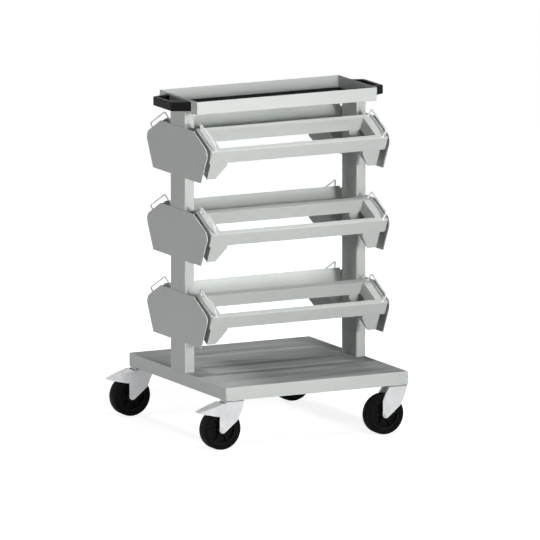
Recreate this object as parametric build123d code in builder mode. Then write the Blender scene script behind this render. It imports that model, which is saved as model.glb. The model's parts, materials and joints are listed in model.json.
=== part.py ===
from build123d import *
import os
from math import acos, atan2, cos, hypot, radians, sin, tan

os.makedirs("parts", exist_ok=True)

# A two-sided tool trolley: a wheeled base, two posts, hexagonal side plates, six tilted tool
# carriers that lift off their hooks, and a tray with push handles on top.
# Millimetres. Z is up from the floor, X runs along the carriers, and the front is at -Y.

# Running and resting gaps
RUN_GAP = 0.05  # radial gap of a turning fit
SEAT_GAP = 0.2  # gap between a lift-off carrier and its hook

# Base platform, a folded sheet pan that is open below
BASE_X = 620
BASE_Y = 662
BASE_H = 40.5
BASE_Z = 150
BASE_T = 2
BASE_CORNER = 3
BASE_BEND = 3
DECK_Z = BASE_Z + BASE_H

# Rails under the deck that carry the casters
RAIL_W = 60
RAIL_T = 2.5
RAIL_Y = BASE_Y - 6

# Posts of rectangular tube with welded end blocks
POST_X = 32
POST_Y = 101
POST_T = 2
POST_R = 4
POST_OUT = 308.25
POST_MID = POST_OUT - POST_X / 2
POST_IN = POST_OUT - POST_X
POST_H = 803.5  # from the deck to the tray
POST_SINK = 0.5  # depth of the posts' seats in the deck
POST_EASE = 0.1  # side gap of those seats
SEAT_X = BASE_X / 2 - POST_IN + POST_EASE
BLOCK_T = 5
BLOCK_R = 3
POST_SCREW_Y = 30

# Tray on the posts
TRAY_X = 611
TRAY_Y = 258
TRAY_H = 41
TRAY_T = 1.5
TRAY_BEND = 2.5
TRAY_SLIT = 0.2  # open seam at each upright corner
TRAY_Z = DECK_Z + POST_H
TRAY_FLOOR = TRAY_Z + TRAY_T

# Ribbed mat in the tray
MAT_X = 606
MAT_Y = 253
MAT_BODY = 2
RIB_H = 1
RIB_W = 3
RIB_PITCH = 6
RIB_COUNT = int(MAT_Y // RIB_PITCH)

# Push handles on the tray's ends
HANDLE_OUT = 55  # reach from the tray's wall
HANDLE_H = 28
HANDLE_TOP = 6  # below the tray's rim
HANDLE_ROOT = 86  # half-length at the wall
HANDLE_BAR = 62  # half-length at the bar
HANDLE_GRIP = 13  # thickness of the bar
GAP_ROOT = 61  # half-length of the hand gap at the wall
GAP_BAR = 56  # half-length of the hand gap at the bar
HANDLE_CORNER = 4
HANDLE_EDGE = 3
HANDLE_Z = TRAY_Z + TRAY_H - HANDLE_TOP - HANDLE_H
HANDLE_SCREW_Y = 73

# Side plates, outlines measured down from their top edges
PLATE_T = 3
PLATE_TOP = 111  # half-widths
PLATE_WIDE = 212
PLATE_LOW = 161.7
PLATE_WIDE_Z = -52.4
PLATE_LOW_Z = -152.3
PLATE_ROUND = 25
PLATE_CORNER = 4
PLATE_FIRST = 753.5  # top edge of the upper plates above the deck
PITCH = 254  # from one level to the next
STUD_Y = 35
STUD_Z = (-40, -110)
STUD_R = 3
STUD_OUT = 7  # reach past the post's inner face
NUT_R = 5.8
NUT_H = 5

# Tool carriers: tilted frames of folded sheet with an open middle
TILT = 27
CARRIER_L = 598
CARRIER_W = 125
CARRIER_Y = 215.9  # front edge of the top flange from the middle
CARRIER_DROP = 50  # front edge below the plate's top edge
CARRIER_R = 3
OPEN_L = 527
OPEN_W = 91
SKIRT = 44
SHEET = 1.5
SHEET_BEND = 2

# End boxes under the carriers, |x| and depth below the top flange
END_OUT = 287.5
END_IN = 230
END_FLAT = 258  # where the flat bottom ends
END_DEEP = 109.5
END_WAIST = 61.6  # depth where the sloped wall ends
END_INSET = 10  # from the carrier's long edges

# Wire bows for lifting
WIRE_R = 2.5
BOW_X = 283.4
BOW_INSET = 7
BOW_H = 22.6
BOW_LEAN = 20
BOW_BEND = 8
BOW_ROOT = 2  # length that is trimmed off at the flange
DIMPLE_R = 3.6  # dimples in the flange that take the bows' feet
DIMPLE = 0.3

# Hooks on the side plates that hold the carriers' ends
HOOK_T = 3
HOOK_TOP = 12  # depths below the carrier's top flange
HOOK_LOW = 49
HOOK_LIP_IN = 290.5
HOOK_A = (20, 105)
LIP_FRONT = 5  # the lip's ends inside the carrier's end channel
LIP_REAR = CARRIER_W - SHEET - SEAT_GAP

# Casters with a single bolt
CASTER_X = 277
CASTER_Y = 308
TRAIL = 42.7
WHEEL_R = 62.5
WHEEL_W = 35
TYRE_IN = 47.5
TYRE_ROUND = 3
RIM_IN = 41
RIM_W = 33
WEB_W = 9
HUB_R = 16
HUB_W = 38
SPOKES = 6
SPOKE_W = 4
SPOKE_DEEP = 26
AXLE_R = 6
AXLE_END_R = 5
AXLE_HEAD_R = 7.5
AXLE_HEAD_H = 2.5
AXLE_HEAD_TAPER = 30

# Caster fork, points from the axle along X and above the floor
FORK_OUT = 22.5  # half-width over the cheeks
FORK_IN = 19.5
FORK_TOP = 148
CROWN_T = 3.5
CROWN_BEND = 6
LOBE_R = 11
FORK_SHOULDER = 104
FORK_WAIST = (-1.5, 128)
FORK_NOSE = (13, FORK_TOP)
FORK_TAIL = (72, FORK_TOP)
FORK_HIP = (66, 126)
FORK_KNEE = (49.5, 88.5)
FORK_ROUND = 6

# Fixed head with the swivel pin, its bolt and nut
PIN_R = 10
HEAD_R = 21
HEAD_Z = 148.5
FLANGE_R = 15
FLANGE_Z = (140.7, 144)
BOLT_R = 6
BOLT_HEX = 10.4
BOLT_HEAD = 7.5
BOLT_TOP = 168
BOLT_NUT = 10

# Brake pedal, points from the axle along X and above the floor
PEDAL_TIP = (-76, 119.5)
PEDAL_TOP = (1, 144)
PEDAL_TOE = (-74, 116)
PEDAL_HEEL = (-15, 104)
PEDAL_PIVOT = (10, 131)
PEDAL_BOSS = 9
PEDAL_OUT = 24.9  # half-width at the fork
PEDAL_TIP_W = 15  # half-width at the tip
PEDAL_TAPER = -30  # where the taper starts
PEDAL_T = 2
PEDAL_PIN_R = 3
PEDAL_HEAD_R = 5
PEDAL_HEAD_H = 1.6
PEDAL_PLAY = 0.2
PEDAL_ROUND = 4
SHOE_X = (-14, -11)
SHOE_Z = 127.6
SHOE_W = 12
SLOT_L = 10
SLOT_W = 4
SLOT_X = -24

# Screws
SCREW_R = 3
SCREW_HEAD_R = 6
SINK_ANGLE = 90
SCREW_L = 10
BUTTON_R = 5.5
BUTTON_H = 3.3
BUTTON_EDGE = 1.1
HANDLE_SCREW_R = 2.5
HANDLE_HEAD_R = 5
HANDLE_SCREW_L = 16

SIDES = {"left": -1, "right": 1}
LEVELS = {"upper": 0, "middle": 1, "lower": 2}
ROWS = {"front": -1, "rear": 1}


def plate_top(level):
    return DECK_Z + PLATE_FIRST - PITCH * level


def rack_plane(row, level):
    """Top plane of a carrier: local x along it, y up the slope from its outer edge."""
    edge = (0, row * CARRIER_Y, plate_top(level) - CARRIER_DROP)
    normal = (0, row * sin(radians(TILT)), cos(radians(TILT)))
    return Plane(origin=edge, x_dir=(-row, 0, 0), z_dir=normal)


def section_plane(rack, slope):
    """Upright cross-section of a carrier at a distance up its slope."""
    origin = rack.from_local_coords((0, slope, 0))
    return Plane(origin=origin, x_dir=rack.x_dir, z_dir=-rack.y_dir)


def mirror_plane(rack):
    return Plane(origin=rack.origin, x_dir=rack.y_dir, z_dir=rack.x_dir)


def up(plane):
    return Axis(plane.origin, plane.z_dir)


def stud_points():
    rows = [plate_top(level) + depth for level in LEVELS.values() for depth in STUD_Z]
    return [(y, z) for y in (-STUD_Y, STUD_Y) for z in rows]


# Seats of the countersunk screws: the tray's floor and the tray's end walls
tray_seats = [
    Plane(origin=(side * POST_MID, y, TRAY_FLOOR))
    for side in SIDES.values()
    for y in (-POST_SCREW_Y, POST_SCREW_Y)
]
wall_seats = [
    Plane(
        origin=(side * (TRAY_X / 2 - TRAY_T), y, HANDLE_Z + HANDLE_H / 2),
        z_dir=(-side, 0, 0),
    )
    for side in SIDES.values()
    for y in (-HANDLE_SCREW_Y, HANDLE_SCREW_Y)
]


# Base platform
with BuildPart() as platform:
    with BuildSketch(Plane.XY.offset(BASE_Z)):
        RectangleRounded(BASE_X, BASE_Y, BASE_CORNER)
    extrude(amount=BASE_H)
    fillet(platform.faces().sort_by(Axis.Z)[-1].edges(), BASE_BEND)
    offset(amount=-BASE_T, openings=platform.faces().sort_by(Axis.Z)[0])
    with BuildSketch(Plane.XY.offset(DECK_Z)):
        with GridLocations(2 * POST_MID, 2 * POST_SCREW_Y, 2, 2):
            Circle(SCREW_R + RUN_GAP)
    extrude(amount=-BASE_T, mode=Mode.SUBTRACT)
    with BuildSketch(Plane.XY.offset(DECK_Z)):
        with GridLocations(BASE_X - SEAT_X, 0, 2, 1):
            Rectangle(SEAT_X, POST_Y + 2 * POST_EASE)
    extrude(amount=-POST_SINK, mode=Mode.SUBTRACT)
platform.part.label = "base_platform"
export_step(platform.part, "parts/base_platform.step")

# Rails, open at the top and closed by the deck
with BuildPart() as rails:
    for side in SIDES.values():
        with BuildSketch(Plane.XZ):
            with Locations((side * CASTER_X, BASE_Z)):
                Rectangle(RAIL_W, BASE_H - BASE_T, align=(Align.CENTER, Align.MIN))
            with Locations((side * CASTER_X, BASE_Z + RAIL_T)):
                Rectangle(
                    RAIL_W - 2 * RAIL_T,
                    BASE_H,
                    align=(Align.CENTER, Align.MIN),
                    mode=Mode.SUBTRACT,
                )
        extrude(amount=RAIL_Y / 2, both=True)
    with BuildSketch(Plane.XY.offset(BASE_Z)):
        with GridLocations(2 * CASTER_X, 2 * CASTER_Y, 2, 2):
            Circle(BOLT_R + RUN_GAP)
    extrude(amount=RAIL_T, mode=Mode.SUBTRACT)
rails.part.label = "base_rails"
export_step(rails.part, "parts/base_rails.step")

# Posts
for side_name, side in SIDES.items():
    with BuildPart() as post:
        with BuildSketch(Plane.XY.offset(DECK_Z - POST_SINK)):
            with Locations((side * POST_MID, 0)):
                RectangleRounded(POST_X, POST_Y, POST_R)
                RectangleRounded(
                    POST_X - 2 * POST_T,
                    POST_Y - 2 * POST_T,
                    POST_R - POST_T,
                    mode=Mode.SUBTRACT,
                )
        extrude(amount=POST_H + POST_SINK)
        with BuildSketch(Plane.YZ.offset(side * POST_MID)):
            with Locations(*stud_points()):
                Circle(STUD_R + RUN_GAP)
        extrude(amount=POST_X, both=True, mode=Mode.SUBTRACT)
    post.part.label = f"{side_name}_post"
    export_step(post.part, f"parts/{side_name}_post.step")

# Blocks welded into the posts' ends
with BuildPart() as blocks:
    with BuildSketch(Plane.XY.offset(TRAY_Z - BLOCK_T)):
        with GridLocations(2 * POST_MID, 0, 2, 1):
            RectangleRounded(POST_X - 2 * POST_T, POST_Y - 2 * POST_T, BLOCK_R)
    extrude(amount=BLOCK_T)
    with Locations(*[seat.location for seat in tray_seats]):
        CounterSinkHole(
            SCREW_R + RUN_GAP,
            SCREW_HEAD_R + RUN_GAP,
            depth=TRAY_T + BLOCK_T,
            counter_sink_angle=SINK_ANGLE,
        )
    with BuildSketch(Plane.XY.offset(DECK_Z - POST_SINK)):
        with GridLocations(2 * POST_MID, 0, 2, 1):
            RectangleRounded(POST_X - 2 * POST_T, POST_Y - 2 * POST_T, BLOCK_R)
        with GridLocations(2 * POST_MID, 2 * POST_SCREW_Y, 2, 2):
            Circle(SCREW_R + RUN_GAP, mode=Mode.SUBTRACT)
    extrude(amount=BLOCK_T)
blocks.part.label = "post_end_blocks"
export_step(blocks.part, "parts/post_end_blocks.step")

# Screws through the deck from below, and through the tray's floor from above
with BuildPart() as post_screws:
    with BuildSketch(Plane.XY.offset(DECK_Z - BASE_T)):
        with GridLocations(2 * POST_MID, 2 * POST_SCREW_Y, 2, 2):
            Circle(BUTTON_R)
    extrude(amount=-BUTTON_H)
    chamfer(post_screws.faces().group_by(Axis.Z)[0].edges(), BUTTON_EDGE)
    with BuildSketch(Plane.XY.offset(DECK_Z - BASE_T)):
        with GridLocations(2 * POST_MID, 2 * POST_SCREW_Y, 2, 2):
            Circle(SCREW_R)
    extrude(amount=SCREW_L)
    with Locations(*[seat.location for seat in tray_seats]):
        Cone(
            SCREW_R,
            SCREW_HEAD_R,
            SCREW_HEAD_R - SCREW_R,
            align=(Align.CENTER, Align.CENTER, Align.MAX),
        )
        Cylinder(SCREW_R, SCREW_L, align=(Align.CENTER, Align.CENTER, Align.MAX))
post_screws.part.label = "post_screws"
export_step(post_screws.part, "parts/post_screws.step")

# Side plates with their welded studs
for side_name, side in SIDES.items():
    for level_name, level in LEVELS.items():
        with BuildPart() as plate:
            with BuildSketch(Plane.YZ.offset(side * POST_OUT)) as outline:
                with Locations((0, plate_top(level))):
                    Polygon(
                        (-PLATE_LOW, PLATE_LOW_Z),
                        (PLATE_LOW, PLATE_LOW_Z),
                        (PLATE_WIDE, PLATE_WIDE_Z),
                        (PLATE_TOP, 0),
                        (-PLATE_TOP, 0),
                        (-PLATE_WIDE, PLATE_WIDE_Z),
                        align=None,
                    )
                corners = outline.vertices().group_by(Axis.X)
                fillet(corners[0] + corners[-1], PLATE_ROUND)
                ends = outline.vertices().group_by(Axis.Y)
                fillet(ends[0] + ends[-1], PLATE_CORNER)
            extrude(amount=side * PLATE_T)
            with BuildSketch(Plane.YZ.offset(side * POST_OUT)):
                for y in (-STUD_Y, STUD_Y):
                    for depth in STUD_Z:
                        with Locations((y, plate_top(level) + depth)):
                            Circle(STUD_R)
            extrude(amount=-side * (POST_X + STUD_OUT))
        plate.part.label = f"{side_name}_{level_name}_plate"
        export_step(plate.part, f"parts/{side_name}_{level_name}_plate.step")

with BuildPart() as nuts:
    for side in SIDES.values():
        with BuildSketch(Plane.YZ.offset(side * POST_IN)):
            with Locations(*stud_points()):
                RegularPolygon(NUT_R, 6)
                Circle(STUD_R + RUN_GAP, mode=Mode.SUBTRACT)
        extrude(amount=-side * NUT_H)
nuts.part.label = "plate_nuts"
export_step(nuts.part, "parts/plate_nuts.step")

# Hooks: a flange on the plate, a web under the carrier's end wall and a lip inside its end channel
for side_name, side in SIDES.items():
    with BuildPart() as hooks:
        for row in ROWS.values():
            for level in LEVELS.values():
                rack = rack_plane(row, level)
                end = -row * side
                with BuildSketch(section_plane(rack, HOOK_A[0])):
                    Polygon(
                        (end * POST_OUT, -HOOK_TOP),
                        (end * POST_OUT, -HOOK_LOW),
                        (end * HOOK_LIP_IN, -HOOK_LOW),
                        (end * HOOK_LIP_IN, HOOK_T - HOOK_LOW),
                        (end * (POST_OUT - HOOK_T), HOOK_T - HOOK_LOW),
                        (end * (POST_OUT - HOOK_T), -HOOK_TOP),
                        align=None,
                    )
                extrude(amount=HOOK_A[0] - HOOK_A[1])
                with BuildSketch(section_plane(rack, LIP_FRONT)):
                    Polygon(
                        (end * HOOK_LIP_IN, -HOOK_LOW),
                        (end * (HOOK_LIP_IN + HOOK_T), -HOOK_LOW),
                        (end * (HOOK_LIP_IN + HOOK_T), -SHEET - SEAT_GAP),
                        (end * HOOK_LIP_IN, -SHEET - SEAT_GAP),
                        align=None,
                    )
                extrude(amount=LIP_FRONT - LIP_REAR)
    hooks.part.label = f"{side_name}_carrier_hooks"
    export_step(hooks.part, f"parts/{side_name}_carrier_hooks.step")

# Tray: a floor that turns up at its edges, and four walls that stand on that bend
with BuildPart() as tray:
    with BuildSketch(Plane.XY.offset(TRAY_Z)):
        RectangleRounded(TRAY_X, TRAY_Y, TRAY_BEND)
    extrude(amount=TRAY_H)
    fillet(tray.faces().sort_by(Axis.Z)[0].edges(), TRAY_BEND)
    offset(amount=-TRAY_T, openings=tray.faces().sort_by(Axis.Z)[-1])
    split(bisect_by=Plane.XY.offset(TRAY_Z + TRAY_BEND), keep=Keep.BOTTOM)
    with Locations(*[seat.location for seat in tray_seats]):
        CounterSinkHole(
            SCREW_R + RUN_GAP, SCREW_HEAD_R + RUN_GAP, depth=TRAY_T, counter_sink_angle=SINK_ANGLE
        )
tray.part.label = "tray_floor"
export_step(tray.part, "parts/tray_floor.step")

with BuildPart() as walls:
    with BuildSketch(Plane.XY.offset(TRAY_Z + TRAY_BEND)):
        RectangleRounded(TRAY_X, TRAY_Y, TRAY_BEND)
        RectangleRounded(
            TRAY_X - 2 * TRAY_T, TRAY_Y - 2 * TRAY_T, TRAY_BEND - TRAY_T, mode=Mode.SUBTRACT
        )
        with GridLocations(TRAY_X, TRAY_Y - 2 * TRAY_BEND, 2, 2):
            Rectangle(2 * TRAY_BEND, TRAY_SLIT, mode=Mode.SUBTRACT)
    extrude(amount=TRAY_H - TRAY_BEND)
    with Locations(*[seat.location for seat in wall_seats]):
        CounterSinkHole(
            HANDLE_SCREW_R + RUN_GAP,
            HANDLE_HEAD_R + RUN_GAP,
            depth=TRAY_T,
            counter_sink_angle=SINK_ANGLE,
        )
walls.part.label = "tray_walls"
export_step(walls.part, "parts/tray_walls.step")

# Ribbed mat
with BuildPart() as mat:
    with BuildSketch(Plane.YZ):
        with Locations((0, TRAY_FLOOR + MAT_BODY / 2)):
            Rectangle(MAT_Y, MAT_BODY)
        with Locations((0, TRAY_FLOOR + MAT_BODY + RIB_H / 2)):
            with GridLocations(RIB_PITCH, 0, RIB_COUNT, 1):
                Rectangle(RIB_W, RIB_H)
    extrude(amount=MAT_X / 2, both=True)
mat.part.label = "tray_mat"
export_step(mat.part, "parts/tray_mat.step")

# Push handles
for side_name, side in SIDES.items():
    wall = side * TRAY_X / 2
    bar = wall + side * HANDLE_OUT
    grip = bar - side * HANDLE_GRIP
    with BuildPart() as handle:
        with BuildSketch(Plane.XY.offset(HANDLE_Z)) as outline:
            Polygon(
                (wall, -HANDLE_ROOT),
                (bar, -HANDLE_BAR),
                (bar, HANDLE_BAR),
                (wall, HANDLE_ROOT),
                (wall, GAP_ROOT),
                (grip, GAP_BAR),
                (grip, -GAP_BAR),
                (wall, -GAP_ROOT),
                align=None,
            )
            bends = outline.vertices().filter_by(lambda v: abs(v.X) > TRAY_X / 2 + HANDLE_GRIP)
            fillet(bends, HANDLE_CORNER)
        extrude(amount=HANDLE_H)
        flat_ends = handle.faces().filter_by(Axis.Z)
        rims = flat_ends.edges().filter_by(Axis.Y, reverse=True)
        fillet(rims + flat_ends.edges().filter_by(Axis.Y).group_by(SortBy.LENGTH)[-1], HANDLE_EDGE)
        with Locations(*[seat.location for seat in wall_seats if seat.origin.X * side > 0]):
            CounterSinkHole(
                HANDLE_SCREW_R + RUN_GAP,
                HANDLE_HEAD_R + RUN_GAP,
                depth=HANDLE_SCREW_L + RUN_GAP,
                counter_sink_angle=SINK_ANGLE,
            )
    handle.part.label = f"{side_name}_push_handle"
    export_step(handle.part, f"parts/{side_name}_push_handle.step")

with BuildPart() as handle_screws:
    with Locations(*[seat.location for seat in wall_seats]):
        Cone(
            HANDLE_SCREW_R,
            HANDLE_HEAD_R,
            HANDLE_HEAD_R - HANDLE_SCREW_R,
            align=(Align.CENTER, Align.CENTER, Align.MAX),
        )
        Cylinder(
            HANDLE_SCREW_R, HANDLE_SCREW_L, align=(Align.CENTER, Align.CENTER, Align.MAX)
        )
handle_screws.part.label = "handle_screws"
export_step(handle_screws.part, "parts/handle_screws.step")


def build_carrier(name, rack):
    with BuildPart() as frame:
        with BuildSketch(rack):
            with Locations((0, CARRIER_W / 2)):
                RectangleRounded(CARRIER_L, CARRIER_W, CARRIER_R)
        extrude(amount=-SKIRT)
        fillet(frame.faces().sort_by(up(rack))[-1].edges(), SHEET_BEND)
        with BuildSketch(rack.offset(-SHEET)):
            with Locations((0, CARRIER_W / 2)):
                RectangleRounded(CARRIER_L - 2 * SHEET, CARRIER_W - 2 * SHEET, CARRIER_R - SHEET)
                Rectangle(OPEN_L + 2 * SHEET, OPEN_W + 2 * SHEET, mode=Mode.SUBTRACT)
        extrude(amount=-SKIRT, mode=Mode.SUBTRACT)
        with BuildSketch(rack):
            with Locations((0, CARRIER_W / 2)):
                Rectangle(OPEN_L, OPEN_W)
        extrude(amount=-SKIRT, mode=Mode.SUBTRACT)
        with BuildSketch(rack):
            with Locations((0, CARRIER_W / 2)):
                with GridLocations(2 * BOW_X, CARRIER_W - 2 * BOW_INSET, 2, 2):
                    Circle(DIMPLE_R)
        extrude(amount=-DIMPLE, mode=Mode.SUBTRACT)
    frame.part.label = f"{name}_carrier"
    export_step(frame.part, f"parts/{name}_carrier.step")


def build_end_boxes(name, rack):
    with BuildPart() as boxes:
        with BuildSketch(section_plane(rack, END_INSET)):
            Polygon(
                (END_IN, -SHEET),
                (END_IN, -END_WAIST),
                (END_FLAT, -END_DEEP),
                (END_OUT, -END_DEEP),
                (END_OUT, -SHEET),
                align=None,
            )
        extrude(amount=-(CARRIER_W - 2 * END_INSET))
        top = boxes.faces().sort_by(up(rack))[-1]
        inner = boxes.faces().filter_by(Axis.X).sort_by(Axis(rack.origin, rack.x_dir))[0]
        offset(amount=-SHEET, openings=[top, inner])
        mirror(about=mirror_plane(rack))
    boxes.part.label = f"{name}_end_boxes"
    export_step(boxes.part, f"parts/{name}_end_boxes.step")


def build_bows(name, rack):
    lean = tan(radians(BOW_LEAN))
    root = BOW_X - BOW_ROOT * lean
    crest = BOW_X + BOW_H * lean
    far = CARRIER_W - BOW_INSET
    route = [
        (root, BOW_INSET, -BOW_ROOT),
        (crest, BOW_INSET, BOW_H),
        (crest, far, BOW_H),
        (root, far, -BOW_ROOT),
    ]
    with BuildPart() as bows:
        with BuildLine() as wire:
            FilletPolyline([rack.from_local_coords(point) for point in route], radius=BOW_BEND)
        with BuildSketch(Plane(origin=wire.line @ 0, z_dir=wire.line % 0)):
            Circle(WIRE_R)
        sweep()
        split(bisect_by=rack.offset(-DIMPLE), keep=Keep.TOP)
        mirror(about=mirror_plane(rack))
    bows.part.label = f"{name}_bows"
    export_step(bows.part, f"parts/{name}_bows.step")


# Six carriers, each with its end boxes and bows
for level_name, level in LEVELS.items():
    for row_name, row in ROWS.items():
        carrier_name = f"{level_name}_{row_name}"
        carrier_rack = rack_plane(row, level)
        build_carrier(carrier_name, carrier_rack)
        build_end_boxes(carrier_name, carrier_rack)
        build_bows(carrier_name, carrier_rack)

# Fixed heads of the casters, with the swivel pins
with BuildPart() as caster_heads:
    with GridLocations(2 * CASTER_X, 2 * CASTER_Y, 2, 2):
        with Locations((0, 0, HEAD_Z)):
            Cylinder(HEAD_R, BASE_Z - HEAD_Z, align=(Align.CENTER, Align.CENTER, Align.MIN))
        with Locations((0, 0, FLANGE_Z[0])):
            Cylinder(PIN_R, BASE_Z - FLANGE_Z[0], align=(Align.CENTER, Align.CENTER, Align.MIN))
            Cylinder(
                FLANGE_R,
                FLANGE_Z[1] - FLANGE_Z[0],
                align=(Align.CENTER, Align.CENTER, Align.MIN),
            )
            Cylinder(
                BOLT_R + RUN_GAP,
                BASE_Z,
                align=(Align.CENTER, Align.CENTER, Align.CENTER),
                mode=Mode.SUBTRACT,
            )
caster_heads.part.label = "caster_heads"
export_step(caster_heads.part, "parts/caster_heads.step")

with BuildPart() as caster_bolts:
    with BuildSketch(Plane.XY.offset(FLANGE_Z[0])):
        with GridLocations(2 * CASTER_X, 2 * CASTER_Y, 2, 2):
            RegularPolygon(BOLT_HEX, 6)
    extrude(amount=-BOLT_HEAD)
    with BuildSketch(Plane.XY.offset(FLANGE_Z[0])):
        with GridLocations(2 * CASTER_X, 2 * CASTER_Y, 2, 2):
            Circle(BOLT_R)
    extrude(amount=BOLT_TOP - FLANGE_Z[0])
caster_bolts.part.label = "caster_bolts"
export_step(caster_bolts.part, "parts/caster_bolts.step")

with BuildPart() as caster_nuts:
    with BuildSketch(Plane.XY.offset(BASE_Z + RAIL_T)):
        with GridLocations(2 * CASTER_X, 2 * CASTER_Y, 2, 2):
            RegularPolygon(BOLT_HEX, 6)
            Circle(BOLT_R + RUN_GAP, mode=Mode.SUBTRACT)
    extrude(amount=BOLT_NUT)
caster_nuts.part.label = "caster_nuts"
export_step(caster_nuts.part, "parts/caster_nuts.step")


def wheel_plane(axis_x, wheel_y):
    """Upright plane through a wheel's middle: local x from the axle, local y from the floor."""
    return Plane(origin=(axis_x - TRAIL, wheel_y, 0), x_dir=(1, 0, 0), z_dir=(0, -1, 0))


def build_fork(name, upright, braked):
    knee_up = FORK_KNEE[1] - WHEEL_R
    reach = hypot(FORK_KNEE[0], knee_up)
    turn = atan2(knee_up, FORK_KNEE[0]) - acos(LOBE_R / reach)
    heel = (LOBE_R * cos(turn), WHEEL_R + LOBE_R * sin(turn))
    with BuildPart() as fork:
        with BuildSketch(upright) as cheek:
            Polygon(
                (-LOBE_R, WHEEL_R),
                heel,
                FORK_KNEE,
                FORK_HIP,
                FORK_TAIL,
                FORK_NOSE,
                FORK_WAIST,
                (-LOBE_R, FORK_SHOULDER),
                align=None,
            )
            bends = cheek.vertices().filter_by(lambda v: WHEEL_R + LOBE_R < v.Y < FORK_TOP - CROWN_T)
            fillet(bends, FORK_ROUND)
            with Locations((0, WHEEL_R)):
                Circle(LOBE_R)
        extrude(amount=FORK_OUT, both=True)
        fillet(fork.faces().sort_by(Axis.Z)[-1].edges().filter_by(Axis.X), CROWN_BEND)
        with BuildSketch(upright):
            with Locations((0, FORK_TOP - CROWN_T)):
                Rectangle(4 * WHEEL_R, 2 * WHEEL_R, align=(Align.CENTER, Align.MAX))
        extrude(amount=FORK_IN, both=True, mode=Mode.SUBTRACT)
        with BuildSketch(upright):
            with Locations((0, WHEEL_R)):
                Circle(AXLE_END_R + RUN_GAP)
            if braked:
                with Locations(PEDAL_PIVOT):
                    Circle(PEDAL_PIN_R + RUN_GAP)
        extrude(amount=FORK_OUT, both=True, mode=Mode.SUBTRACT)
        with BuildSketch(Plane.XY.offset(FORK_TOP)):
            with Locations((upright.origin.X + TRAIL, upright.origin.Y)):
                Circle(PIN_R + RUN_GAP)
        extrude(amount=-CROWN_T, mode=Mode.SUBTRACT)
    fork.part.label = f"{name}_fork"
    export_step(fork.part, f"parts/{name}_fork.step")


def build_axle(name, upright, braked):
    with BuildPart() as axle:
        with BuildSketch(upright):
            with Locations((0, WHEEL_R)):
                Circle(AXLE_R)
        extrude(amount=FORK_IN, both=True)
        with BuildSketch(upright):
            with Locations((0, WHEEL_R)):
                Circle(AXLE_END_R)
        extrude(amount=FORK_OUT, both=True)
        for facing in (-1, 1):
            with BuildSketch(upright.offset(facing * FORK_OUT)):
                with Locations((0, WHEEL_R)):
                    Circle(AXLE_HEAD_R)
            extrude(amount=facing * AXLE_HEAD_H, taper=AXLE_HEAD_TAPER)
        if braked:
            with BuildSketch(upright):
                with Locations(PEDAL_PIVOT):
                    Circle(PEDAL_PIN_R)
            extrude(amount=PEDAL_OUT, both=True)
            for facing in (-1, 1):
                with BuildSketch(upright.offset(facing * (PEDAL_OUT + PEDAL_PLAY))):
                    with Locations(PEDAL_PIVOT):
                        Circle(PEDAL_HEAD_R)
                extrude(amount=facing * PEDAL_HEAD_H)
                with BuildSketch(upright.offset(facing * PEDAL_OUT)):
                    with Locations(PEDAL_PIVOT):
                        Circle(PEDAL_PIN_R)
                extrude(amount=facing * PEDAL_HEAD_H)
    axle.part.label = f"{name}_axle"
    export_step(axle.part, f"parts/{name}_axle.step")


def build_wheel(name, upright):
    with BuildPart() as tyre:
        with BuildSketch(upright):
            with Locations((0, WHEEL_R)):
                Circle(WHEEL_R)
                Circle(TYRE_IN, mode=Mode.SUBTRACT)
        extrude(amount=WHEEL_W / 2, both=True)
        fillet(tyre.edges().filter_by(GeomType.CIRCLE).group_by(SortBy.RADIUS)[-1], TYRE_ROUND)
    tyre.part.label = f"{name}_tyre"
    export_step(tyre.part, f"parts/{name}_tyre.step")

    with BuildPart() as core:
        with BuildSketch(upright):
            with Locations((0, WHEEL_R)):
                Circle(TYRE_IN - RUN_GAP)
                Circle(RIM_IN, mode=Mode.SUBTRACT)
        extrude(amount=RIM_W / 2, both=True)
        with BuildSketch(upright):
            with Locations((0, WHEEL_R)):
                Circle((RIM_IN + TYRE_IN) / 2)
        extrude(amount=WEB_W / 2, both=True)
        with BuildSketch(upright):
            with Locations((0, WHEEL_R)):
                with PolarLocations((RIM_IN + HUB_R) / 2, SPOKES):
                    Rectangle(RIM_IN - HUB_R + SPOKE_W, SPOKE_W)
        extrude(amount=SPOKE_DEEP / 2, both=True)
        with BuildSketch(upright):
            with Locations((0, WHEEL_R)):
                Circle(HUB_R)
        extrude(amount=HUB_W / 2, both=True)
        with BuildSketch(upright):
            with Locations((0, WHEEL_R)):
                Circle(AXLE_R + RUN_GAP)
        extrude(amount=HUB_W, both=True, mode=Mode.SUBTRACT)
    core.part.label = f"{name}_wheel_core"
    export_step(core.part, f"parts/{name}_wheel_core.step")


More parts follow.
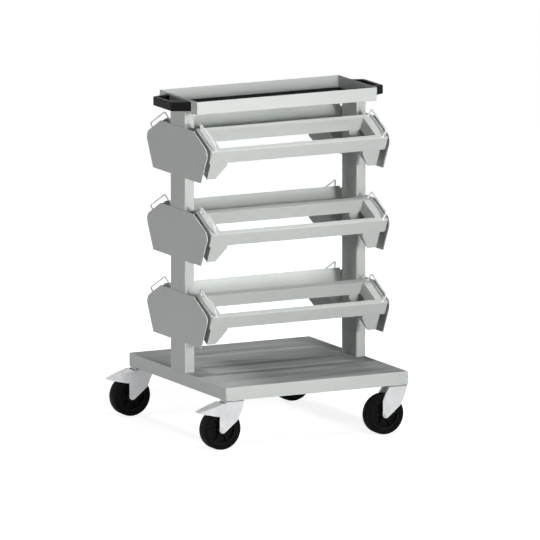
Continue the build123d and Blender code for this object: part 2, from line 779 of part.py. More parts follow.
def build_pedal(name, upright):
    plan = Plane(origin=upright.origin, x_dir=(1, 0, 0), z_dir=(0, 0, 1))
    boss_end = PEDAL_PIVOT[0] + PEDAL_BOSS
    slope = atan2(PEDAL_TOP[1] - PEDAL_TIP[1], PEDAL_TOP[0] - PEDAL_TIP[0])
    sink = PEDAL_T / cos(slope)
    shoe_mid = (SHOE_X[0] + SHOE_X[1]) / 2
    shoe_top = PEDAL_TOP[1] - sink / 2 - (PEDAL_TOP[0] - shoe_mid) * tan(slope)
    with BuildPart() as hollow:
        with BuildSketch(upright):
            Polygon(
                (PEDAL_TIP[0], PEDAL_TIP[1] - sink),
                (PEDAL_TOP[0], PEDAL_TOP[1] - sink),
                (PEDAL_TOP[0], BASE_Z),
                (2 * boss_end, BASE_Z),
                (2 * boss_end, 0),
                (PEDAL_TIP[0], 0),
                align=None,
            )
        extrude(amount=PEDAL_OUT, both=True)
        with BuildSketch(plan):
            Polygon(
                (PEDAL_TIP[0] + PEDAL_T, PEDAL_T - PEDAL_TIP_W),
                (PEDAL_TAPER, PEDAL_T - PEDAL_OUT),
                (2 * boss_end, PEDAL_T - PEDAL_OUT),
                (2 * boss_end, PEDAL_OUT - PEDAL_T),
                (PEDAL_TAPER, PEDAL_OUT - PEDAL_T),
                (PEDAL_TIP[0] + PEDAL_T, PEDAL_TIP_W - PEDAL_T),
                align=None,
            )
        extrude(amount=BASE_Z, mode=Mode.INTERSECT)

    with BuildPart() as pedal:
        with BuildSketch(upright) as side_view:
            Polygon(
                PEDAL_TIP,
                PEDAL_TOE,
                PEDAL_HEEL,
                (PEDAL_PIVOT[0], PEDAL_PIVOT[1] - PEDAL_BOSS),
                (PEDAL_PIVOT[0], PEDAL_PIVOT[1] + PEDAL_BOSS),
                PEDAL_TOP,
                align=None,
            )
            fillet(side_view.vertices().sort_by(Axis.Y)[0], PEDAL_ROUND)
            with Locations(PEDAL_PIVOT):
                Circle(PEDAL_BOSS)
        extrude(amount=PEDAL_OUT, both=True)
        with BuildSketch(plan):
            Polygon(
                (PEDAL_TIP[0], -PEDAL_TIP_W),
                (PEDAL_TAPER, -PEDAL_OUT),
                (boss_end, -PEDAL_OUT),
                (boss_end, PEDAL_OUT),
                (PEDAL_TAPER, PEDAL_OUT),
                (PEDAL_TIP[0], PEDAL_TIP_W),
                align=None,
            )
        extrude(amount=BASE_Z, mode=Mode.INTERSECT)
        add(hollow.part, mode=Mode.SUBTRACT)
        with BuildSketch(upright):
            Polygon(
                (SHOE_X[0], SHOE_Z),
                (SHOE_X[1], SHOE_Z),
                (SHOE_X[1], shoe_top),
                (SHOE_X[0], shoe_top),
                align=None,
            )
        extrude(amount=SHOE_W, both=True)
        with BuildSketch(plan):
            with Locations((SLOT_X, 0)):
                SlotOverall(SLOT_L, SLOT_W)
        extrude(amount=BASE_Z, mode=Mode.SUBTRACT)
        with BuildSketch(upright):
            with Locations(PEDAL_PIVOT):
                Circle(PEDAL_PIN_R + RUN_GAP)
        extrude(amount=PEDAL_OUT, both=True, mode=Mode.SUBTRACT)
    pedal.part.label = f"{name}_brake_pedal"
    export_step(pedal.part, f"parts/{name}_brake_pedal.step")


# Four casters, trailing to the left; the left pair has brakes
for row_name, row in ROWS.items():
    for side_name, side in SIDES.items():
        caster_name = f"{row_name}_{side_name}"
        caster_plane = wheel_plane(side * CASTER_X, row * CASTER_Y)
        has_brake = side_name == "left"
        build_fork(caster_name, caster_plane, has_brake)
        build_axle(caster_name, caster_plane, has_brake)
        build_wheel(caster_name, caster_plane)
        if has_brake:
            build_pedal(caster_name, caster_plane)
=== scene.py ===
import json
import math

import bmesh
import bpy
from mathutils import Matrix, Vector


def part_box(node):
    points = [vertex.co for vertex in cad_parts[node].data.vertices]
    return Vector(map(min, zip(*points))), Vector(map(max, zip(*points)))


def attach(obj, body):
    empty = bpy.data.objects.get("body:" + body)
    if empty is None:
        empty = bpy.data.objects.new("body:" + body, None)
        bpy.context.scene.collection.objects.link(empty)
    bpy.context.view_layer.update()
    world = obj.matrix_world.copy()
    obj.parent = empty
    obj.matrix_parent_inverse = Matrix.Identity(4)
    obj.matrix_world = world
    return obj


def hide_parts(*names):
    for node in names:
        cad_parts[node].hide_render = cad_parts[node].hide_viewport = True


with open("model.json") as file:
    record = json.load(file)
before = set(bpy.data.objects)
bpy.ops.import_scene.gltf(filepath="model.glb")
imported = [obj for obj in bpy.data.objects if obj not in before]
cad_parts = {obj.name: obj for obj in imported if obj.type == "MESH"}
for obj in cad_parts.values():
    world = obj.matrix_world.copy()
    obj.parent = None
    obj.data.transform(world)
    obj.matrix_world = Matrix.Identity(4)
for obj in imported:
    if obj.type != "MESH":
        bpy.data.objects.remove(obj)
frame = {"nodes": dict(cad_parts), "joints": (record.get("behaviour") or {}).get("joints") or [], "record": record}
nodes = frame["nodes"]
scene = bpy.context.scene
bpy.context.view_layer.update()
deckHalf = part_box("base_platform")[1]
slotOf = {part["node"]: part["material_slot"] for part in frame["record"]["subparts"]}


# shader helpers

def feed(tree, socket, value):  # links another socket, or sets a plain value
    if isinstance(value, bpy.types.NodeSocket):
        tree.links.new(value, socket)
    else:
        socket.default_value = value


def addNode(tree, kind, inputs=None, **settings):
    node = tree.nodes.new(kind)
    for name, value in settings.items():
        setattr(node, name, value)
    for socket, value in (inputs or {}).items():
        feed(tree, node.inputs[socket], value)
    return node


def addMath(tree, operation, *values):
    return addNode(tree, "ShaderNodeMath", dict(enumerate(values)), operation=operation).outputs[0]


def addRange(tree, value, low, high, newLow=0.0, newHigh=1.0):
    inputs = {"Value": value, "From Min": low, "From Max": high, "To Min": newLow, "To Max": newHigh}
    return addNode(tree, "ShaderNodeMapRange", inputs).outputs["Result"]


def mixColour(tree, mask, first, second):  # the mix node takes its colours at 6 and 7, and gives one at 2
    return addNode(tree, "ShaderNodeMix", {0: mask, 6: first, 7: second}, data_type="RGBA").outputs[2]


def grey(red, green=None, blue=None):
    return (red, red if green is None else green, red if blue is None else blue, 1.0)


def objectPlace(tree):
    return tree.nodes.new("ShaderNodeTexCoord").outputs["Object"]


def stretchedPlace(tree, scale, turn=(0.0, 0.0, 0.0)):  # object coordinates turned and drawn out
    return addNode(tree, "ShaderNodeMapping", {
        "Vector": objectPlace(tree), "Rotation": turn, "Scale": scale}).outputs["Vector"]


def addNoise(tree, scale, detail, roughness=0.5, place=None):
    if place is None:
        place = objectPlace(tree)
    inputs = {"Vector": place, "Scale": scale, "Detail": detail, "Roughness": roughness}
    return addNode(tree, "ShaderNodeTexNoise", inputs).outputs[0]


def newGroup(name, inputs, outputs):
    group = bpy.data.node_groups.new(name, "ShaderNodeTree")
    for label, value in inputs.items():
        kind = "NodeSocketColor" if isinstance(value, tuple) else "NodeSocketFloat"
        group.interface.new_socket(label, in_out="INPUT", socket_type=kind).default_value = value
    for label, kind in outputs.items():
        group.interface.new_socket(label, in_out="OUTPUT", socket_type=kind)
    return group, group.nodes.new("NodeGroupInput").outputs, group.nodes.new("NodeGroupOutput").inputs


def placeGroup(tree, group, inputs):
    return addNode(tree, "ShaderNodeGroup", inputs, node_tree=group).outputs


# shared effects

def makeMottle():  # slow change of tone between two colours
    group, given, out = newGroup(
        "mottle",
        {"Light": grey(0.8), "Dark": grey(0.6), "Scale": 6.0, "Contrast": 1.0},
        {"Color": "NodeSocketColor", "Mask": "NodeSocketFloat"},
    )
    noise = addNoise(group, given["Scale"], detail=4.0, roughness=0.55)
    spread = addMath(group, "SUBTRACT", noise, 0.5)  # contrast is taken about the middle of the noise
    mask = addMath(group, "MULTIPLY_ADD", spread, given["Contrast"], 0.5)
    mask = addRange(group, mask, 0.0, 1.0)
    group.links.new(mixColour(group, mask, given["Dark"], given["Light"]), out["Color"])
    group.links.new(mask, out["Mask"])
    return group


def makePeel():  # fine orange peel over a slow wave, heights in metres
    group, given, out = newGroup(
        "peel",
        {"Fine Scale": 900.0, "Fine Depth": 0.00002, "Wave Scale": 9.0, "Wave Depth": 0.0003},
        {"Height": "NodeSocketFloat"},
    )
    fine = addNoise(group, given["Fine Scale"], detail=1.0)
    wave = addNoise(group, given["Wave Scale"], detail=1.0)
    slow = addMath(group, "MULTIPLY", wave, given["Wave Depth"])
    group.links.new(addMath(group, "MULTIPLY_ADD", fine, given["Fine Depth"], slow), out["Height"])
    return group


edgeWear = {
    "samples": 6,
    "turn": (0.995, 0.86),     # cosine of the rounded normal's turn, from no wear to full wear
    "patches": (0.42, 0.68),   # where along an edge it is worn
}


def makeEdgeWear():  # 1 on worn outer edges, 0 on flat faces
    group, given, out = newGroup(
        "edge wear", {"Width": 0.002, "Patch Scale": 60.0}, {"Mask": "NodeSocketFloat"})
    rounded = addNode(group, "ShaderNodeBevel", {"Radius": given["Width"]}, samples=edgeWear["samples"])
    flat = group.nodes.new("ShaderNodeNewGeometry")
    normals = {0: rounded.outputs["Normal"], 1: flat.outputs["Normal"]}
    along = addNode(group, "ShaderNodeVectorMath", normals, operation="DOT_PRODUCT").outputs["Value"]
    edge = addRange(group, along, *edgeWear["turn"])
    patch = addRange(group, addNoise(group, given["Patch Scale"], detail=3.0), *edgeWear["patches"])
    group.links.new(addMath(group, "MULTIPLY", edge, patch), out["Mask"])
    return group


dustAndShadeLayer = {
    "upward": (0.92, 0.99),        # how far a face looks up, from none of the streaks to all of them
    "stretch": (0.16, 1.0, 1.0),   # draws the streaks out from side to side
    "streaks": (-0.50, 0.80),
}


def makeDustAndShade():  # a mask on faces looking up, drawn out into streaks along X: thin dust on the black parts, and painted shade on the powder coat, where its dark colour stands for the soft shadows of the carriers on the deck
    group, given, out = newGroup("dust", {"Amount": 0.3, "Scale": 25.0}, {"Mask": "NodeSocketFloat"})
    normal = group.nodes.new("ShaderNodeNewGeometry").outputs["Normal"]
    upward = addNode(group, "ShaderNodeSeparateXYZ", {"Vector": normal}).outputs["Z"]
    drawn = stretchedPlace(group, dustAndShadeLayer["stretch"])
    streak = addNoise(group, given["Scale"], detail=2.0, roughness=0.45, place=drawn)
    streakMask = addRange(group, streak, *dustAndShadeLayer["streaks"])
    upwardStreaks = addMath(group, "MULTIPLY", addRange(group, upward, *dustAndShadeLayer["upward"]), streakMask)
    group.links.new(addMath(group, "MULTIPLY", upwardStreaks, given["Amount"]), out["Mask"])
    return group


scuffMarks = {
    "turns": ((0.2, 0.3, 0.35), (-0.3, 0.1, -0.60), (0.5, -0.4, 1.30)),
    "lines": (0.68, 0.74),     # the higher, the fewer and thinner the scratches
    "patches": (0.45, 0.62),
}


def makeScuffs():  # sparse thin scratches that lie in a few directions
    group, given, out = newGroup(
        "scuffs",
        {"Length Scale": 7.0, "Width Scale": 420.0, "Patch Scale": 9.0},
        {"Mask": "NodeSocketFloat"},
    )
    drawn = addNode(group, "ShaderNodeCombineXYZ", {
        "X": given["Length Scale"], "Y": given["Width Scale"], "Z": given["Width Scale"]}).outputs["Vector"]
    lines = 0.0
    for turn in scuffMarks["turns"]:
        noise = addNoise(group, 1.0, detail=1.0, place=stretchedPlace(group, drawn, turn))
        lines = addMath(group, "MAXIMUM", lines, addRange(group, noise, *scuffMarks["lines"]))
    patch = addRange(group, addNoise(group, given["Patch Scale"], detail=2.0), *scuffMarks["patches"])
    group.links.new(addMath(group, "MULTIPLY", lines, patch), out["Mask"])
    return group


effects = {"mottle": makeMottle(), "peel": makePeel(), "wear": makeEdgeWear(), "dust": makeDustAndShade(),
           "scuffs": makeScuffs()}
print("effects:", ", ".join(effects))


# finishes, one per slot of the record

def newFinish(name, **sockets):
    material = bpy.data.materials.new(name)
    material.use_nodes = True
    tree = material.node_tree
    shader = tree.nodes["Principled BSDF"]
    for socket, value in sockets.items():
        shader.inputs[socket.replace("_", " ")].default_value = value
    return material, tree, shader


def addTone(tree, look):
    scale, contrast = look["mottle"]
    return placeGroup(tree, effects["mottle"], {
        "Light": look["light"], "Dark": look["dark"], "Scale": scale, "Contrast": contrast})


def addWear(tree, look, colour):  # the colour with its edges rubbed
    width, patchScale = look["edges"]
    mask = placeGroup(tree, effects["wear"], {"Width": width, "Patch Scale": patchScale})["Mask"]
    return mixColour(tree, addMath(tree, "MULTIPLY", mask, look["wear"]), colour, look["worn"])


def addDustAndShade(tree, look):
    amount, scale = look["dust"]
    return placeGroup(tree, effects["dust"], {"Amount": amount, "Scale": scale})["Mask"]


def addScuffs(tree, look):
    labels = ("Length Scale", "Width Scale", "Patch Scale")
    return placeGroup(tree, effects["scuffs"], dict(zip(labels, look["scuffScales"])))["Mask"]


def addPeel(tree, look):
    labels = ("Fine Scale", "Fine Depth", "Wave Scale", "Wave Depth")
    return placeGroup(tree, effects["peel"], dict(zip(labels, look["fine"] + look["wave"])))["Height"]


def addBump(tree, shader, height):
    bump = addNode(tree, "ShaderNodeBump", {"Strength": 1.0, "Distance": 1.0, "Height": height})
    tree.links.new(bump.outputs["Normal"], shader.inputs["Normal"])


glossFrom = (0.2, 0.8)  # stretch of the mottle's mask that covers a finish's whole roughness
paint = {
    "specular": 0.09,
    "roughness": (0.60, 0.72),
    "light": grey(0.625, 0.650, 0.630),
    "dark": grey(0.585, 0.612, 0.592),
    "mottle": (7.0, 1.6),         # scale and contrast
    "speck": grey(0.48, 0.50, 0.49),
    "specks": 0.55,
    "grain": (0.52, 0.74),
    "grainScale": 1000.0,
    # painted shade: a dark grey laid on faces looking up, standing for the soft shadows of the carriers on the
    # deck
    "dusty": grey(0.106, 0.109, 0.108),
    "dust": (0.94, 19.0),         # amount and scale
    "dustRoughness": 0.3,
    "dustCentre": (0.06, -0.11),  # where the painted shade on the deck is darkest, under the carriers
    "deckRim": (0.50, 1.10),      # from here to the rim of the deck the painted shade thins out
    "rimDust": 0.30,
    "scuffed": grey(0.70, 0.72, 0.70),
    "scuffs": 0.30,
    "scuffScales": (9.0, 520.0, 7.0),   # along and across a scratch, and of the scratched patches
    "scuffDepth": 0.00002,
    "worn": grey(0.71, 0.73, 0.71),
    "wear": 0.55,
    "edges": (0.0016, 70.0),      # width, and scale of the worn patches
    "fine": (520.0, 0.00010),     # scale and depth of the orange peel
    "wave": (11.0, 0.0004),
}


def deckMiddle(tree):  # 1 where the painted shade is darkest, over the middle of the deck under the carriers, less towards its rim
    place = addNode(tree, "ShaderNodeSeparateXYZ", {"Vector": objectPlace(tree)}).outputs
    reach = 0.0
    for axis, centre, half in zip("XY", paint["dustCentre"], deckHalf):
        away = addMath(tree, "ABSOLUTE", addMath(tree, "SUBTRACT", place[axis], centre))
        reach = addMath(tree, "MAXIMUM", reach, addMath(tree, "DIVIDE", away, half))
    return addRange(tree, reach, *paint["deckRim"], 1.0, paint["rimDust"])


def makePaint():
    material, tree, shader = newFinish("powder coat", Specular_IOR_Level=paint["specular"])
    tone = addTone(tree, paint)
    grain = addNoise(tree, paint["grainScale"], detail=2.0)
    speck = addRange(tree, grain, *paint["grain"], 0.0, paint["specks"])  # darker grains of the powder
    # painted shade: dark streaks along X on faces looking up, darkest over the middle of the deck, for the
    # carriers' soft shadows; it also roughens the paint there
    dust = addMath(tree, "MULTIPLY", addDustAndShade(tree, paint), deckMiddle(tree))
    scuffs = addScuffs(tree, paint)
    colour = mixColour(tree, speck, tone["Color"], paint["speck"])
    colour = mixColour(tree, dust, colour, paint["dusty"])
    colour = mixColour(tree, addMath(tree, "MULTIPLY", scuffs, paint["scuffs"]), colour, paint["scuffed"])
    tree.links.new(addWear(tree, paint, colour), shader.inputs["Base Color"])
    gloss = addRange(tree, tone["Mask"], *glossFrom, *paint["roughness"])
    gloss = addMath(tree, "MULTIPLY_ADD", dust, paint["dustRoughness"], gloss)
    tree.links.new(gloss, shader.inputs["Roughness"])
    addBump(tree, shader, addMath(tree, "MULTIPLY_ADD", scuffs, -paint["scuffDepth"], addPeel(tree, paint)))
    return material


zinc = {
    "metallic": 0.5,
    "specular": 0.3,
    "roughness": (0.30, 0.50),
    "glossFrom": (0.2, 1.2),      # wider than elsewhere, because the crystals add to the mask
    "light": grey(0.80, 0.805, 0.81),
    "dark": grey(0.62, 0.63, 0.645),
    "mottle": (34.0, 1.8),
    "spangle": 240.0,             # scale of the crystals
    "spangleShade": 0.5,
    "spangleGloss": 0.4,
    "worn": grey(0.84),
    "wear": 0.6,
    "edges": (0.001, 120.0),
    "scratched": grey(0.54, 0.545, 0.555),
    "scuffs": 0.5,
    "scuffScales": (60.0, 1500.0, 30.0),
    "scuffDepth": 0.000008,
    "fine": (1500.0, 0.000008),
    "wave": (40.0, 0.00004),
}


def makeZinc():
    material, tree, shader = newFinish(
        "zinc plate", Metallic=zinc["metallic"], Specular_IOR_Level=zinc["specular"])
    tone = addTone(tree, zinc)
    cells = addNode(tree, "ShaderNodeTexVoronoi", {
        "Vector": objectPlace(tree), "Scale": zinc["spangle"]}).outputs["Color"]
    shade = addNode(tree, "ShaderNodeSeparateColor", {"Color": cells}).outputs[0]
    crystals = addMath(tree, "MULTIPLY", shade, zinc["spangleShade"])
    colour = addWear(tree, zinc, mixColour(tree, crystals, tone["Color"], zinc["dark"]))
    scuffs = addScuffs(tree, zinc)
    colour = mixColour(tree, addMath(tree, "MULTIPLY", scuffs, zinc["scuffs"]), colour, zinc["scratched"])
    tree.links.new(colour, shader.inputs["Base Color"])
    gloss = addMath(tree, "MULTIPLY_ADD", shade, zinc["spangleGloss"], tone["Mask"])
    tree.links.new(addRange(tree, gloss, *zinc["glossFrom"], *zinc["roughness"]), shader.inputs["Roughness"])
    addBump(tree, shader, addMath(tree, "MULTIPLY_ADD", scuffs, -zinc["scuffDepth"], addPeel(tree, zinc)))
    return material


wire = {
    "metallic": 0.25,
    "specular": 0.4,
    "roughness": (0.28, 0.40),
    "light": grey(0.90, 0.903, 0.908),
    "dark": grey(0.80, 0.804, 0.812),
    "mottle": (90.0, 1.5),
    "fine": (2200.0, 0.000003),
    "wave": (160.0, 0.000005),
}


def makeWire():
    material, tree, shader = newFinish(
        "bright wire", Metallic=wire["metallic"], Specular_IOR_Level=wire["specular"])
    tone = addTone(tree, wire)
    tree.links.new(tone["Color"], shader.inputs["Base Color"])
    tree.links.new(addRange(tree, tone["Mask"], *glossFrom, *wire["roughness"]), shader.inputs["Roughness"])
    addBump(tree, shader, addPeel(tree, wire))
    return material


anyBlack = {"mottle": (40.0, 1.8), "edges": (0.0015, 140.0), "scuffScales": (40.0, 1100.0, 35.0)}
blackFinishes = {
    "handle_plastic": {
        "light": grey(0.0085, 0.0085, 0.0090), "dark": grey(0.0055, 0.0055, 0.0060), "worn": grey(0.035),
        "dusty": grey(0.10, 0.095, 0.09), "roughness": (0.36, 0.50), "specular": 0.07,
        "fine": (2600.0, 0.00003), "wave": (30.0, 0.00006), "dust": (0.10, 60.0), "wear": 0.5,
        "scuffs": 0.6},
    "wheel_plastic": {
        "light": grey(0.0095, 0.0095, 0.0100), "dark": grey(0.0060, 0.0060, 0.0065), "worn": grey(0.04),
        "dusty": grey(0.12, 0.11, 0.10), "roughness": (0.40, 0.58), "specular": 0.05,
        "fine": (1800.0, 0.00002), "wave": (45.0, 0.00005), "dust": (0.10, 60.0), "wear": 0.5,
        "scuffs": 0.4},
    "tyre_rubber": {
        "light": grey(0.0085, 0.0083, 0.0080), "dark": grey(0.0050, 0.0050, 0.0050), "worn": grey(0.030),
        "dusty": grey(0.11, 0.105, 0.095), "roughness": (0.62, 0.85), "specular": 0.04,
        "fine": (1200.0, 0.00005), "wave": (60.0, 0.00008), "dust": (0.08, 60.0), "wear": 0.6,
        "scuffs": 0.4, "tread": 0.16, "grit": (0.35, 0.70), "gritScale": 260.0},
    "mat_rubber": {
        "light": grey(0.0130, 0.0130, 0.0130), "dark": grey(0.0075, 0.0075, 0.0075), "worn": grey(0.03),
        "dusty": grey(0.12, 0.115, 0.105), "roughness": (0.66, 0.88), "specular": 0.05,
        "fine": (1400.0, 0.00006), "wave": (20.0, 0.0001), "dust": (0.05, 60.0), "wear": 0.4,
        "scuffs": 0.4},
}


def addTread(tree, look, colour):  # the tyre's running face is grey with floor dust
    running = addNode(tree, "ShaderNodeAttribute", attribute_name="tread").outputs["Fac"]
    grit = addRange(tree, addNoise(tree, look["gritScale"], detail=4.0, roughness=0.7), *look["grit"])
    rolled = addMath(tree, "MULTIPLY", addMath(tree, "MULTIPLY", running, grit), look["tread"])
    return mixColour(tree, rolled, colour, look["dusty"])


def makeBlack(name, look):
    material, tree, shader = newFinish(name, Specular_IOR_Level=look["specular"])
    tone = addTone(tree, look)
    colour = mixColour(tree, addDustAndShade(tree, look), tone["Color"], look["dusty"])
    scuffs = addMath(tree, "MULTIPLY", addScuffs(tree, look), look["scuffs"])
    colour = mixColour(tree, scuffs, colour, look["worn"])
    if "tread" in look:
        colour = addTread(tree, look, colour)
    tree.links.new(addWear(tree, look, colour), shader.inputs["Base Color"])
    tree.links.new(addRange(tree, tone["Mask"], *glossFrom, *look["roughness"]), shader.inputs["Roughness"])
    addBump(tree, shader, addPeel(tree, look))
    return material


finishes = {"powder_coat": makePaint(), "zinc": makeZinc(), "bright_wire": makeWire()}
for slotName, look in blackFinishes.items():
    finishes[slotName] = makeBlack(slotName.replace("_", " "), anyBlack | look)
for nodeName, piece in nodes.items():
    for slot in piece.material_slots:
        slot.material = finishes[slotOf[nodeName]]
print("finishes:", ", ".join(finishes))


# pieces made here

# spins an outline of (radius, height) about Z, with some of its corners rounded
def makeRing(outline, steps, rounded=(), rounding=0.0, segments=1):
    ring = bmesh.new()
    corners = [ring.verts.new((radius, 0.0, height)) for radius, height in outline]
    ring.faces.new(corners)
    if rounded:
        bmesh.ops.bevel(
            ring, geom=[corners[index] for index in rounded], offset=rounding, offset_type="OFFSET",
            segments=segments, profile=0.5, affect="VERTICES", material=-1)
    bmesh.ops.delete(ring, geom=ring.faces[:], context="FACES_ONLY")
    bmesh.ops.spin(
        ring, geom=ring.verts[:] + ring.edges[:], cent=(0, 0, 0), axis=(0, 0, 1), dvec=(0, 0, 0),
        angle=math.tau, steps=steps, use_merge=True, use_normal_flip=False, use_duplicate=False)
    return ring


def addShape(whole, part, place):
    bmesh.ops.transform(part, matrix=place, verts=part.verts)
    holder = bpy.data.meshes.new("holder")
    part.to_mesh(holder)
    part.free()
    whole.from_mesh(holder)
    bpy.data.meshes.remove(holder)


pieceMesh = {"mergeWithin": 0.000005, "sharpFrom": 40.0}  # metres, and degrees between faces


def newPiece(name, shape, body, slotName):
    bmesh.ops.remove_doubles(shape, verts=shape.verts, dist=pieceMesh["mergeWithin"])
    bmesh.ops.recalc_face_normals(shape, faces=shape.faces)
    mesh = bpy.data.meshes.new(name)
    shape.to_mesh(mesh)
    shape.free()
    mesh.shade_smooth()
    mesh.set_sharp_from_angle(angle=math.radians(pieceMesh["sharpFrom"]))
    mesh.materials.append(finishes[slotName])
    piece = bpy.data.objects.new(name, mesh)
    scene.collection.objects.link(piece)
    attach(piece, body)
    return piece


tyre = {
    "bore": 0.0475,
    "halfWidth": 0.0175,
    "chamfer": 0.0007,              # at the edge of the bore
    "groove": (0.0498, 0.0527),     # ring in the side wall
    "grooveDepth": 0.0006,
    "crown": 0.0622,
    "mouldLine": (0.0006, 0.0003),  # half width and height of the ridge round the middle
    "shoulder": 0.0028,
    "shoulderSegments": 6,
    "steps": 96,
    "treadFrom": 0.0605,
}


def tyreSide():  # one half of the section, from the bore over the shoulder to the mould line
    side, inner, outer = tyre["halfWidth"], *tyre["groove"]
    sunk, slope = side - tyre["grooveDepth"], tyre["grooveDepth"] / 2
    return [
        (tyre["bore"], side - tyre["chamfer"]),
        (tyre["bore"] + tyre["chamfer"], side),
        (inner, side),
        (inner + slope, sunk),
        (outer - slope, sunk),
        (outer, side),
        (tyre["crown"], side),
        (tyre["crown"], tyre["mouldLine"][0]),
    ]


def makeTyre(corner):
    half = tyreSide()
    ridge = (tyre["crown"] + tyre["mouldLine"][1], 0.0)
    outline = half + [ridge] + [(radius, -height) for radius, height in reversed(half)]
    shoulder = len(half) - 2  # the corner before the mould line
    shoulders = (shoulder, len(outline) - 1 - shoulder)
    shape = makeRing(outline, tyre["steps"], shoulders, tyre["shoulder"], tyre["shoulderSegments"])
    tread = shape.verts.layers.float.new("tread")
    for vertex in shape.verts:
        vertex[tread] = float(vertex.co.xy.length > tyre["treadFrom"])
    low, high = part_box(corner + "_tyre")
    standing = Matrix.Translation((low + high) / 2) @ Matrix.Rotation(math.radians(90), 4, "X")
    bmesh.ops.transform(shape, matrix=standing, verts=shape.verts)
    piece = newPiece(corner + "_moulded_tyre", shape, corner + "_wheel", "tyre_rubber")
    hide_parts(corner + "_tyre")


ballRace = {
    "inner": 0.0205,
    "outer": 0.0229,
    "heights": (0.1485, 0.1498),
    "edge": 0.0002,
    "groove": 0.0003,
    "steps": 64,
}


def makeRaces(swivels):
    inner, outer, edge, groove = (ballRace[key] for key in ("inner", "outer", "edge", "groove"))
    low, high = ballRace["heights"]
    middle = (low + high) / 2
    outline = (
        (inner, low), (outer - edge, low), (outer, low + edge), (outer, middle - groove),
        (outer - groove, middle), (outer, middle + groove), (outer, high - edge), (outer - edge, high),
        (inner, high),
    )
    shape = bmesh.new()
    for joint in swivels:
        across, deep, _ = joint["pos_m"]
        addShape(shape, makeRing(outline, ballRace["steps"]), Matrix.Translation((across, deep, 0.0)))
    newPiece("caster_ball_races", shape, "trolley_frame", "zinc")


weldCollar = {
    "outline": ((0.0050, -0.0004), (0.0037, 0.0006), (0.0030, 0.0018), (0.0022, 0.0021), (0.0022, -0.0004)),
    "steps": 40,
    "ripples": 8,
    "ripple": 0.05,
    "footAcross": 0.2834,   # a bow's feet, from the middle of the carrier
    "footAlong": 0.0555,
    "lean": 20.0,           # degrees that the bow leans outwards
}


def makeCollar(side):
    collar = makeRing(weldCollar["outline"], weldCollar["steps"])
    lean = math.tan(math.radians(weldCollar["lean"])) * side
    for vertex in collar.verts:
        angle = math.atan2(vertex.co.y, vertex.co.x)
        swell = 1 + weldCollar["ripple"] * math.sin(weldCollar["ripples"] * angle)
        vertex.co.x = vertex.co.x * swell + vertex.co.z * lean
        vertex.co.y *= swell
    return collar


def makeCollars(lift):
    across, normal = Vector((1, 0, 0)), Vector(lift["axis"]).normalized()
    along = normal.cross(across)
    turned = Matrix((across, along, normal)).transposed().to_4x4()
    shape = bmesh.new()
    for side in (-1, 1):
        for end in (-1, 1):
            foot = across * side * weldCollar["footAcross"] + along * end * weldCollar["footAlong"]
            addShape(shape, makeCollar(side), Matrix.Translation(Vector(lift["pos_m"]) + foot) @ turned)
    newPiece(lift["child"].replace("rack", "weld_collars"), shape, lift["child"], "bright_wire")


swivelJoints = [joint for joint in frame["joints"] if joint["name"].endswith("_swivel_turn")]
liftJoints = [joint for joint in frame["joints"] if joint["name"].endswith("_lift")]
for joint in swivelJoints:
    makeTyre(joint["child"].replace("_swivel", ""))
makeRaces(swivelJoints)
for joint in liftJoints:
    makeCollars(joint)
print("pieces: tyres, ball races and weld collars")


# floor, world, lights and camera

stage = {
    "floorRadius": 30.0,
    "floorSides": 96,
    "floor": grey(0.50),
    "glowNear": 0.82,     # floor's own white, seen by the camera and in reflections only
    "glowFar": 1.0,
    "glowFrom": (0.9, 2.0),
}


def seenDirectly(tree):  # 1 for camera, mirror and glass rays
    path = tree.nodes.new("ShaderNodeLightPath").outputs
    seen = addMath(tree, "MAXIMUM", path["Is Camera Ray"], path["Is Glossy Ray"])
    return addMath(tree, "MAXIMUM", seen, path["Is Transmission Ray"])


def makeFloor():
    mesh = bpy.data.meshes.new("floor")
    shape = bmesh.new()
    bmesh.ops.create_circle(shape, cap_ends=True, segments=stage["floorSides"], radius=stage["floorRadius"])
    shape.to_mesh(mesh)
    shape.free()
    floor = bpy.data.objects.new("floor", mesh)
    scene.collection.objects.link(floor)
    material, tree, shader = newFinish("pale floor", Roughness=0.9, Specular_IOR_Level=0.0)
    shader.inputs["Base Color"].default_value = stage["floor"]
    shader.inputs["Emission Color"].default_value = grey(1.0)
    away = addNode(tree, "ShaderNodeVectorMath", {0: objectPlace(tree)}, operation="LENGTH")
    white = addRange(tree, away.outputs["Value"], *stage["glowFrom"], stage["glowNear"], stage["glowFar"])
    glow = addMath(tree, "MULTIPLY", seenDirectly(tree), white)
    tree.links.new(glow, shader.inputs["Emission Strength"])
    mesh.materials.append(material)


def makeWorld():  # white to the camera and in reflections, and no light otherwise
    world = bpy.data.worlds.new("studio")
    world.use_nodes = True
    tree = world.node_tree
    background = tree.nodes["Background"]
    background.inputs["Color"].default_value = grey(1.0)
    tree.links.new(seenDirectly(tree), background.inputs["Strength"])
    scene.world = world


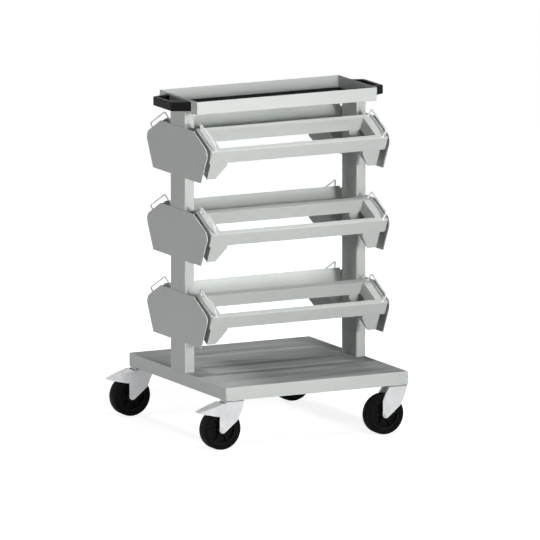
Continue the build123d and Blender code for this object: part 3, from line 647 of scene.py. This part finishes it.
softboxes = {
    "frontSoftbox": {"from": (0.30, -6.0, 1.30), "aim": (-0.35, -0.25, 0.97), "size": (1.5, 1.2),
                     "spread": 41.0, "power": 12.6},
    "raisedSoftbox": {"from": (0.40, -6.0, 1.80), "aim": (-0.20, -0.25, 0.85), "size": (0.6, 0.4),
                      "spread": 41.0, "power": 5.6},
    "highSoftbox": {"from": (0.0, -2.5, 5.75), "aim": (0.0, -0.15, 0.60), "size": (1.5, 0.4),
                    "spread": 60.0, "power": 14.5},
    "leftSoftbox": {"from": (-6.0, 0.0, 0.85), "aim": (0.0, 0.0, 0.60), "size": (0.8, 1.2),
                    "spread": 180.0, "power": 111.0},
    "rightSoftbox": {"from": (6.0, 0.0, 0.45), "aim": (0.0, 0.0, 0.45), "size": (0.8, 0.5),
                     "spread": 90.0, "power": 36.0},
    "rearSoftbox": {"from": (0.0, 5.8, 1.70), "aim": (0.0, 0.0, 0.45), "size": (0.8, 0.5),
                    "spread": 90.0, "power": 42.0},
    "topStrip": {"from": (0.0, 0.55, 5.0), "aim": (0.0, 0.0, 0.0), "size": (2.5, 0.10),
                 "spread": 180.0, "power": 8.0},
}


def addSoftbox(name, box):
    light = bpy.data.lights.new(name, "AREA")
    light.shape = "RECTANGLE"
    light.size, light.size_y = box["size"]
    light.energy = box["power"]
    light.spread = math.radians(box["spread"])
    lamp = bpy.data.objects.new(name, light)
    lamp.location = box["from"]
    lamp.visible_glossy = False  # metal and plastic mirror the white room, not the lamps
    lamp.rotation_euler = (Vector(box["aim"]) - Vector(box["from"])).to_track_quat("-Z", "Y").to_euler()
    scene.collection.objects.link(lamp)


photoView = {
    "aim": (0.0045, -0.0023, 0.4748),
    "distance": 44.401,
    "turn": 26.803,     # degrees to the left of the front
    "rise": 10.179,     # degrees above the level
    "lens": 972.0,
    "sensor": 36.0,
    "clip": (1.0, 120.0),
}


def addCamera():
    data = bpy.data.cameras.new("photoCamera")
    data.lens = photoView["lens"]
    data.sensor_width = photoView["sensor"]
    data.clip_start, data.clip_end = photoView["clip"]
    camera = bpy.data.objects.new("photoCamera", data)
    turn, rise = math.radians(photoView["turn"]), math.radians(photoView["rise"])
    back = Vector((-math.sin(turn) * math.cos(rise), -math.cos(turn) * math.cos(rise), math.sin(rise)))
    camera.location = Vector(photoView["aim"]) + back * photoView["distance"]
    camera.rotation_euler = (math.radians(90) - rise, 0.0, -turn)
    scene.collection.objects.link(camera)
    scene.camera = camera


makeFloor()
makeWorld()
for boxName, box in softboxes.items():
    addSoftbox(boxName, box)
addCamera()
scene.view_settings.view_transform = "Standard"
print("stage: floor, world,", len(softboxes), "softboxes, camera")
